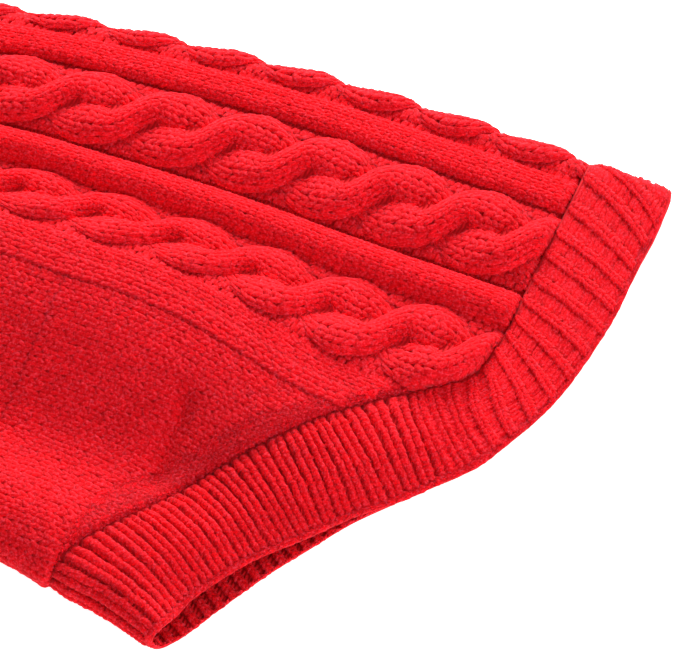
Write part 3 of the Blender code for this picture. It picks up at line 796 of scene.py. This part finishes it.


# Finishes.

# The yarn's own red, a darker red that is painted shade, and a pink that is painted highlight on lit fibres.
YARN_RED, PAINTED_SHADE_RED, PAINTED_HIGHLIGHT_RED = "#E00716", "#BC0106", "#F0475D"
# The ground's two reds: the darker one is painted shade in the troughs of its purl rows.
PURL_REDS_WITH_PAINTED_SHADE = "#D20610", "#EA0C1C"
SHEEN_RED = "#FF6A74"
FLOOR_WHITES, WHITE = ("#F4F3F1", "#F8F8F7"), "#FFFFFF"
PAINTED_SHADE_UNTIL = 0.75  # height over a stitch's crest, from 0 to 1, below which the yarn is painted darker: painted shade down its sides and towards its ends
TONES = (0.88, 1.1)  # darkest and lightest stitch
PATCH = 22.0  # size of the yarn's uneven dyeing
FIBRE = 0.8  # clumps of fibres, drawn coarser than the 0.02 of one fibre so that they show
# Painted highlight on lit fibres, and painted shade between them: where their pattern has its whole tint, how
# strong, and the tint.
FIBRE_MIDDLE, FIBRE_HIGHLIGHT_AND_SHADE = 0.5, ((0.68, 0.6, PAINTED_HIGHLIGHT_RED), (0.34, 0.5, PAINTED_SHADE_RED))
PLY_PITCH, PLY_SLANT, PLY_WAVE = 0.9, 1.3, 0.32  # of the twist along the yarn and round it
GLOW = 3.2  # how far light spreads through the brushed fibres
PURL_BUMP = ROW / 2


def srgb(value):
    """A hex sRGB colour as linear red, green, blue and alpha."""
    parts = [int(value[i : i + 2], 16) / 255 for i in (1, 3, 5)]
    return [p / 12.92 if p <= 0.04045 else ((p + 0.055) / 1.055) ** 2.4 for p in parts] + [1.0]


class Finish:
    """A material that is built up node by node."""

    def __init__(self, name):
        self.material = bpy.data.materials.new(name)
        self.material.use_nodes = True
        self.tree = self.material.node_tree

    def put(self, node, inputs):
        """Sets a node's inputs, as values or as links from other nodes."""
        for socket, value in inputs.items():
            if isinstance(value, bpy.types.NodeSocket):
                self.tree.links.new(value, node.inputs[socket])
            else:
                node.inputs[socket].default_value = value

    def add(self, kind, inputs, output, **settings):
        """Adds a node with its inputs and settings, and gives its output."""
        made = self.tree.nodes.new("ShaderNode" + kind)
        for name, value in settings.items():
            setattr(made, name, value)
        self.put(made, inputs)
        return made.outputs[output]

    def mixed(self, share, first, second):
        """Two colours, mixed."""
        return self.add("Mix", {"Factor": share, "A": first, "B": second}, "Result", data_type="RGBA")

    def shaded(self, inputs):
        """The material, once its shader has these inputs."""
        self.put(self.tree.nodes["Principled BSDF"], inputs)
        return self.material


def spun_wool_yarn():
    """Two-ply brushed wool-blend yarn, knitted: matt, with a soft bright edge from its loose fibres and a
    slanting twist along each stitch. Its colour holds painted shade down each leg's sides and towards its
    ends, and painted highlight and painted shade on clumps of its fibres."""
    yarn = Finish("spun_wool_blend_yarn")
    crest = yarn.add("Attribute", {}, "Fac", attribute_name="crest")
    tone = yarn.add("Attribute", {}, "Fac", attribute_name="tone")
    uv = yarn.add("UVMap", {}, "UV", uv_map="yarn")
    place = yarn.add("TexCoord", {}, "Object")
    # Painted shade: the yarn is darker down its sides and towards the ends of each leg.
    painted_dip_shade = yarn.add("MapRange", {"Value": crest, "From Max": PAINTED_SHADE_UNTIL}, "Result")
    base = yarn.mixed(painted_dip_shade, srgb(PAINTED_SHADE_RED), srgb(YARN_RED))
    patches = yarn.add("TexNoise", {"Vector": place, "Scale": 1 / (PATCH * MM), "Detail": 2.0}, "Fac")
    shade = yarn.add("Math", {0: tone, 1: patches}, 0, operation="ADD")
    tones = {"Value": shade, "From Max": 2.0, "To Min": TONES[0], "To Max": TONES[1]}
    light = yarn.add("MapRange", tones, "Result")
    colour = yarn.add("HueSaturation", {"Color": base, "Value": light}, "Color")
    clumps = {"Vector": place, "Scale": 1 / (FIBRE * MM), "Detail": 4.0, "Roughness": 0.7}
    fibres = yarn.add("TexNoise", clumps, "Fac")
    # A painted highlight on the fibres' clumps, then painted shade between them.
    for whole, strong, tint in FIBRE_HIGHLIGHT_AND_SHADE:
        tinted = {"Value": fibres, "From Min": FIBRE_MIDDLE, "From Max": whole, "To Max": strong}
        colour = yarn.mixed(yarn.add("MapRange", tinted, "Result"), colour, srgb(tint))
    along_yarn = yarn.add("Mapping", {"Vector": uv, "Scale": (1 / PLY_PITCH, PLY_SLANT, 1)}, "Vector")
    waves = {"Vector": along_yarn, "Scale": PLY_WAVE, "Distortion": 1.2, "Detail": 1.0}
    twist = yarn.add("TexWave", waves, "Fac", bands_direction="DIAGONAL")
    rough = yarn.add("Bump", {"Strength": 0.22, "Distance": 0.4 * MM, "Height": fibres}, "Normal")
    plies = {"Strength": 0.2, "Distance": 0.25 * MM, "Height": twist, "Normal": rough}
    yarn.tree.nodes["Principled BSDF"].subsurface_method = "BURLEY"
    return yarn.shaded({
        "Base Color": colour,
        "Normal": yarn.add("Bump", plies, "Normal"),
        "Subsurface Weight": 0.8,
        "Subsurface Radius": (1.0, 0.35, 0.3),
        "Subsurface Scale": GLOW * MM,
        "Roughness": 0.92,
        "Specular IOR Level": 0.12,
        "Sheen Weight": 0.29,
        "Sheen Roughness": 0.45,
        "Sheen Tint": srgb(SHEEN_RED),
    })


def knitted_ground():
    """The back of the same stitches, deep between them: matt and painted darker, as shade between the
    stitches, with rows of purl bumps whose troughs are painted darker than their tops.
    """
    knitted = Finish("purl_side_wool_knit")
    place = knitted.add("TexCoord", {}, "Object")
    repeats = math.pi / (10 * PURL_BUMP * MM)
    bumps = {"Vector": place, "Scale": repeats, "Distortion": 1.5, "Detail Scale": 2.0}
    rows = knitted.add("TexWave", bumps, "Fac", bands_direction="Y")
    return knitted.shaded({
        # Painted shade: the purl rows are darker in their troughs and lighter on their tops.
        "Base Color": knitted.mixed(rows, *map(srgb, PURL_REDS_WITH_PAINTED_SHADE)),
        "Normal": knitted.add("Bump", {"Strength": 0.8, "Distance": 0.8 * MM, "Height": rows}, "Normal"),
        "Roughness": 0.95,
        "Specular IOR Level": 0.2,
        "Sheen Weight": 0.2,
        "Sheen Tint": srgb(SHEEN_RED),
    })


def pale_floor():
    """A smooth painted studio floor: pale, even and matt."""
    painted = Finish("matt_painted_floor")
    place = painted.add("TexCoord", {}, "Object")
    mottle = painted.add("TexNoise", {"Vector": place, "Scale": 3.0}, "Fac")
    return painted.shaded({
        "Base Color": painted.mixed(mottle, *map(srgb, FLOOR_WHITES)),
        "Roughness": 0.85,
        "Emission Color": srgb(WHITE),
        "Emission Strength": 0.85,
    })


wool = spun_wool_yarn()
ground = knitted_ground()


# Grounds: the thin cloths under the stitches.

def stations(zones):
    """Places at even steps through each (start, end, steps) zone."""
    places = [zones[0][0]]
    for start, end, steps in zones:
        places += [start + (end - start) * (step + 1) / steps for step in range(steps)]
    return np.array(places)


def cloth(name, columns, rows, place, tube=False, facing=1):
    """A thin wall of cloth whose outer face stands where place(column, row) says.

    Facing is 1 where its highest part faces up, and -1 where it faces down."""
    bm = bmesh.new()
    bmesh.ops.create_grid(bm, x_segments=len(columns) - 1, y_segments=len(rows) - 1, size=1)
    verts = sorted(bm.verts, key=lambda v: (round(v.co.y, 6), round(v.co.x, 6)))
    column_values, row_values = np.meshgrid(columns, rows)
    for vert, point in zip(verts, to_frame(place(column_values, row_values)).reshape(-1, 3)):
        vert.co = point
    if tube:
        bmesh.ops.remove_doubles(bm, verts=bm.verts, dist=SAME_PLACE * MM)
    bm.normal_update()
    top = max(bm.faces, key=lambda f: f.calc_center_median().z)
    if top.normal.z * facing < 0:
        bmesh.ops.reverse_faces(bm, faces=bm.faces)
    mesh = bpy.data.meshes.new(name)
    bm.to_mesh(mesh)
    bm.free()
    obj = finished(name, mesh, ground)
    wall = obj.modifiers.new("wall", "SOLIDIFY")
    wall.thickness, wall.offset = GROUND_THICK * MM, -1
    return obj


def bedded(turn, along, relief=0, bed=BED):
    """The ground's outer face: below the stitches on top, and resting where there are none."""
    return on_cloth(turn, along, WALL + (relief - bed) * on_top(turn))


PANEL_START = moved(BAND_SEAM, BAND_GAP / 2)
PANEL_END = ((-LENGTH, NECK_SEAM), (0, NECK_SEAM))


def back_ground(width, row):
    """Width is less than 0 over the lower flank."""

    def turn_for(along):
        return pattern.turn_at(pattern.real(np.abs(width), along), along)

    turn, along = settled(turn_for, PANEL_START, PANEL_END, row)
    turn = np.where(width < 0, 2 - turn, turn)
    raised = back_relief(width, along) * relief_left(turn, along) + edge_roll(turn, along)
    bed = between(BED, UNDER_BED, eased(CABLES[-1][1] - 1, CABLES[-1][1] + 1, np.abs(width)))
    return bedded(turn, along, raised, bed)


def under_ground(side, row):
    """Side runs from the upper side seam, 0, past the belly fold, 1, to the lower side seam, 2."""
    upper = np.minimum(side, 2 - side)

    def turn_for(along):
        seam_turn = turn_at(through(SIDE_SEAM, along) - SEAM_GAP, along)
        return between(seam_turn, 1, upper)

    turn, along = settled(turn_for, PANEL_START, PANEL_END, row)
    turn = np.where(side > 1, 2 - turn, turn)
    return bedded(turn, along, edge_roll(turn, along), UNDER_BED)


def band_ground(rib, row):
    turn, along = band_place(rib, row)
    return sagged(bedded(turn, along, rib_lift(rib, row), UNDER_BED), rib, row)


def under_ribs(rib):
    """The ground rises half as high as the round ribs, which lie at whole numbers."""
    return RIB_HEIGHT / 2 * (1 - np.cos(2 * math.pi * (rib + 0.5))) / 2


def collar_ground(rib, along):
    return bedded(collar_turns(rib / COLLAR_RIBS), along, under_ribs(rib))


def opened(obj, lower):
    """Cuts a leg opening in the under panel's ground, before it gets its wall."""
    bm = bmesh.new()
    bm.from_mesh(obj.data)
    middle = to_frame(np.array([ARMHOLE_ACROSS, ARMHOLE_ALONG, 0.0]))
    size = np.array([ARMHOLE_HALF_ACROSS + ARMBAND_WIDTH / 2, ARMHOLE_HALF_ALONG + ARMBAND_WIDTH / 2]) * MM

    def off(vert):
        return math.hypot((vert.co.x - middle[0]) / size[0], (vert.co.y - middle[1]) / size[1])

    gone = [v for v in bm.verts if off(v) < 1 and (v.co.z < UPPER_FLANK * MM) == lower]
    bmesh.ops.delete(bm, geom=gone, context="VERTS")
    bm.to_mesh(obj.data)
    bm.free()


(middle_cable, side_cable, last_cable), (far_stripe, near_stripe) = CABLES, STRIPES
edge = SEAM_WIDTH - SEAM_GAP / 2
back_columns = stations((
    (-edge, middle_cable[0], 22), (*middle_cable, 20), (*far_stripe, 9), (*side_cable, 22),
    (*near_stripe, 9), (*last_cable, 17), (last_cable[1], edge, 4),
))
under_columns = stations(((0, 0.8, 30), (0.8, 1.2, 20), (1.2, 2, 26)))
grounds = {
    "back_panel": cloth("back_ground", back_columns, np.linspace(0, 1, 110), back_ground),
    "under_panel": cloth("under_ground", under_columns, np.linspace(0, 1, 70), under_ground),
    "hem_band": cloth(
        "band_ground", np.linspace(0, 2 * HEM_RIBS, 16 * HEM_RIBS + 1),
        np.linspace(BAND_GROUND_FROM, 1, 16), band_ground, tube=True,
    ),
    "collar": cloth(
        "collar_ground", np.linspace(0, 2 * COLLAR_RIBS, 8 * COLLAR_RIBS + 1),
        np.linspace(NECK_SEAM + SEAM_GAP, LENGTH, 9), collar_ground, tube=True,
    ),
}
for node, lower in (("left_armband", False), ("right_armband", True)):
    opened(grounds["under_panel"], lower)
    ring = armband_place(lower)
    grounds[node] = cloth(
        node + "_ground", np.linspace(0, ARMBAND_RIBS, 8 * ARMBAND_RIBS + 1),
        np.linspace(0, ARMBAND_WIDTH, 5),
        lambda rib, out: ring(rib, out, 0 * rib if lower else under_ribs(rib) - BED),
        tube=True, facing=-1 if lower else 1,
    )
for node, obj in grounds.items():
    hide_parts(node)


# Stitches.

KNIT, RIB, BAR = knit_stitch(*KNIT_LEG), knit_stitch(*RIB_LEG), purl_bar()
rows_up = np.arange(FIRST_ROW, NECK_SEAM, ROW)


def cable_stitches():
    """Each cable's strands, knitted one by one along their own swing."""
    for (start, end), wales in zip(CABLES, STRAND_WALES):
        past = np.linspace(-STRAND_REACH, STRAND_REACH, STRAND_STEPS)
        lean = strand(past, (end - start) / 2 - GUTTER)[1]
        run = np.concatenate([[0], np.cumsum(np.diff(past) * CABLE_REPEAT * np.sqrt(1 + lean[1:] ** 2))])
        stitch_past = np.interp(centred(0, run[-1], round(run[-1] / STRAND_ROW)), run, past)
        stitch_run = STRAND_ROW / np.sqrt(1 + np.interp(stitch_past, past, lean) ** 2)
        strands = []
        for crossing in range(int((FIRST_CROSSING - NECK_SEAM) // CABLE_REPEAT), 2):
            place = cable_strand(start, end, crossing)
            top = FIRST_CROSSING - CABLE_REPEAT * crossing
            lateral, along = grid_of(centred(-1, 1, wales), top - CABLE_REPEAT * stitch_past)
            lateral, along, size = kept(place, lateral, along, np.repeat(stitch_run, wales))
            if len(lateral):
                size = (2 / wales, size)
                strands.append(knit("strand", KNIT, place, lateral, along, size, "cable_knit", relief=RAISED))
        joined(f"cable_at_{round(start)}".replace("-", "minus_"), strands)


def straight_stitches():
    """The stripes, the plain wales beside the side seam, and the purl gutters."""
    made = []
    for start, end in STRIPES:
        place = over(stripe, start, end)
        stitches = kept(place, *grid_of(centred(start, end, STRIPE_WALES), rows_up))
        size = ((end - start) / STRIPE_WALES, ROW)
        made.append(knit("stripe", KNIT, place, *stitches, size, "cable_knit", relief=RAISED))
    margin = CABLES[-1][1], SEAM_WIDTH
    stitches = kept(plain_back, *grid_of(centred(*margin, MARGIN_WALES), rows_up))
    size = ((margin[1] - margin[0]) / MARGIN_WALES, ROW)
    made.append(knit("margin", KNIT, plain_back, *stitches, size, "cable_knit", relief=SMOOTH))
    hidden = STRIPES[1][0] - PURL_IN, STRIPES[0][1] + PURL_IN  # under the rolled sides of the stripes
    for start, end in CABLES:
        place = over(cable_bed, start, end)
        inwards = [PURL_STEP * purl for purl in range(PURL_WALES)]
        purls = np.ravel([(start + PURL_IN + step, end - PURL_IN - step) for step in inwards])
        width, along = grid_of(purls, rows_up)
        along = along + np.where(np.arange(len(along)) % len(purls) // 2 % 2, ROW / 2, 0)
        width, along = kept(place, width, along)
        shown = np.abs(width[:, None] - hidden).min(axis=1) > SAME_PLACE
        width, along, size = width[shown], along[shown], (PURL_WIDE, ROW)
        made.append(knit("gutter", BAR, place, width, along, size, "cable_knit", loose=PURL_LOOSE))
    joined("stripe_and_margin_stitches", made)


def under_stitches():
    """The plain panel's stitches, and the braid beside its upper seam."""
    offset, along = grid_of(centred(0, UNDER_WALES * WALE, UNDER_WALES), rows_up)
    past_fold = pattern.seam(along) + offset - np.interp(along, pattern.along, pattern.belly_distance)
    good = past_fold < BELOW_BELLY
    offset, along = kept(on_under, offset[good], along[good])
    braid = kept(on_under, *grid_of(BRAID_WALES, np.arange(FIRST_ROW, NECK_SEAM, BRAID_ROW)))
    knit("side_seam_braid", KNIT, on_under, *braid, (BRAID, BRAID_ROW), "plain_knit", lift=BRAID_LIFT)
    neckward = along > UNDER_SPLIT
    for name, part in (("under_stitches_tailward", ~neckward), ("under_stitches_neckward", neckward)):
        knit(name, KNIT, on_under, offset[part], along[part], (WALE, ROW), "plain_knit", relief=SMOOTH)


def band_stitches():
    """The ribs and the bars between the low ones, the inner face that shows in the mouth, and the rim."""
    rows = centred(KNIT_FROM, KNIT_TO, BAND_ROWS)
    row_size = ROW_OVERLAP * (KNIT_TO - KNIT_FROM) / BAND_ROWS
    low, row = grid_of(np.arange(-BELOW_FOLD, FIRST_PAIR, 1.0), rows)
    size = (CORD_WIDE + CORD_WIDER * eased(*WIDER_RIBS, low), row_size)
    low_ribs = knit("low_ribs", KNIT, on_band, low, row, size, "ribbed_knit", lift=LOW_RIB_LIFT)
    pairs = grid_of(np.arange(FIRST_PAIR, LAST_PAIR, 1.0), rows)
    size = (1.0, row_size)
    paired_ribs = knit("paired_ribs", RIB, on_band, *pairs, size, "ribbed_knit", relief=PAIR_RELIEF)
    gaps = grid_of(np.arange(-BELOW_FOLD, LAST_BARS) + 0.5, rows)
    size = (BAR_WIDE, BAR_LONG * row_size)
    bars = knit("bars", BAR, on_band, *gaps, size, "ribbed_knit", lift=BAR_LIFT, loose=BAR_LOOSE)
    joined("band_stitches", [paired_ribs, low_ribs, bars])
    in_mouth = grid_of(np.arange(HEM_RIBS, LAST_IN_MOUTH, 1.0), centred(*MOUTH_ROWS))
    knit("band_inside_stitches", KNIT, inside_band, *in_mouth, MOUTH_STITCH, "ribbed_knit", lift=MOUTH_LIFT)
    loops = np.arange(0, 2 * HEM_RIBS, 0.5)
    knit(
        "band_rim", KNIT, round_rim, np.full(len(loops), RIM_FACE), loops, (RIM_ARC, RIM_LOOP), "ribbed_knit",
        lift=RIM_LIFT, relief=RIM_RELIEF,
    )


def ribbing(name, place, ribs, gaps, rows):
    """Ribs of knit stitches, and the purl bars between them."""
    legs = knit("ribs", KNIT, place, *grid_of(ribs, rows), (RIB_WIDE, ROW), "ribbed_knit", lift=RIB_LIFT)
    bars = knit("bars", BAR, place, *grid_of(gaps, rows), (RIB_GAP, ROW), "ribbed_knit")
    joined(name, [legs, bars])


cable_stitches()
straight_stitches()
under_stitches()
band_stitches()
ribbing(
    "collar_stitches", on_collar, np.arange(0, COLLAR_RIBS + 1.0), np.arange(0, COLLAR_RIBS) + 0.5,
    centred(NECK_SEAM, LENGTH - COLLAR_EDGE, COLLAR_ROWS),
)
ribbing(
    "left_armband_stitches", armband_place(False), np.arange(0, ARMBAND_RIBS, 1.0),
    np.arange(0, ARMBAND_RIBS) + 0.5, centred(ARMBAND_FROM, ARMBAND_WIDTH, ARMBAND_ROWS),
)


# Floor, light and camera.

FLOOR_HALF, FLOOR_BELOW = 4, 0.0001  # metres, from here on
SKY = 0.4  # strength
LAMPS = (("key_light", (1.2, 0.4, 0.5), 0.6, 38), ("fill_light", (-0.6, -1.65, 0.4), 1.0, 24))
AZIMUTH, ELEVATION = math.radians(-66.8), math.radians(55.5)
DISTANCE, VIEW_WIDE, SENSOR = 1.3, 0.224, 36
TARGET = (-92.0, 81.0, 6.0)  # across, along and height in the middle of the view, in millimetres


def studio():
    """A large floor, an even white sky, and lamps by (name, place, size, power)."""
    bm = bmesh.new()
    bmesh.ops.create_grid(bm, x_segments=1, y_segments=1, size=FLOOR_HALF)
    bmesh.ops.translate(bm, vec=(0, 0, -FLOOR_BELOW), verts=bm.verts)
    mesh = bpy.data.meshes.new("floor")
    bm.to_mesh(mesh)
    bm.free()
    mesh.materials.append(pale_floor())
    floor = in_scene("floor", mesh)
    world = bpy.data.worlds.new("soft_studio")
    world.use_nodes = True
    sky = world.node_tree.nodes["Background"].inputs
    sky["Color"].default_value, sky["Strength"].default_value = srgb(WHITE), SKY
    bpy.context.scene.world = world
    for name, place, size, power in LAMPS:
        light = bpy.data.lights.new(name, "AREA")
        light.energy, light.size = power, size
        lamp = in_scene(name, light)
        lamp.location = place
        lamp.rotation_euler = (-Vector(place)).to_track_quat("-Z", "Y").to_euler()
    bpy.context.scene.view_settings.view_transform = "Standard"


def camera():
    """Looks at the target from this azimuth and elevation."""
    level = math.cos(ELEVATION)
    back = Vector((math.sin(AZIMUTH) * level, -math.cos(AZIMUTH) * level, math.sin(ELEVATION)))
    data = bpy.data.cameras.new("camera")
    data.sensor_fit, data.sensor_width = "HORIZONTAL", SENSOR
    data.lens = SENSOR * DISTANCE / VIEW_WIDE
    obj = in_scene("camera", data)
    obj.location = Vector(to_frame(np.array(TARGET))) + back * DISTANCE
    obj.rotation_euler = (-back).to_track_quat("-Z", "Y").to_euler()
    bpy.context.scene.camera = obj


studio()
camera()
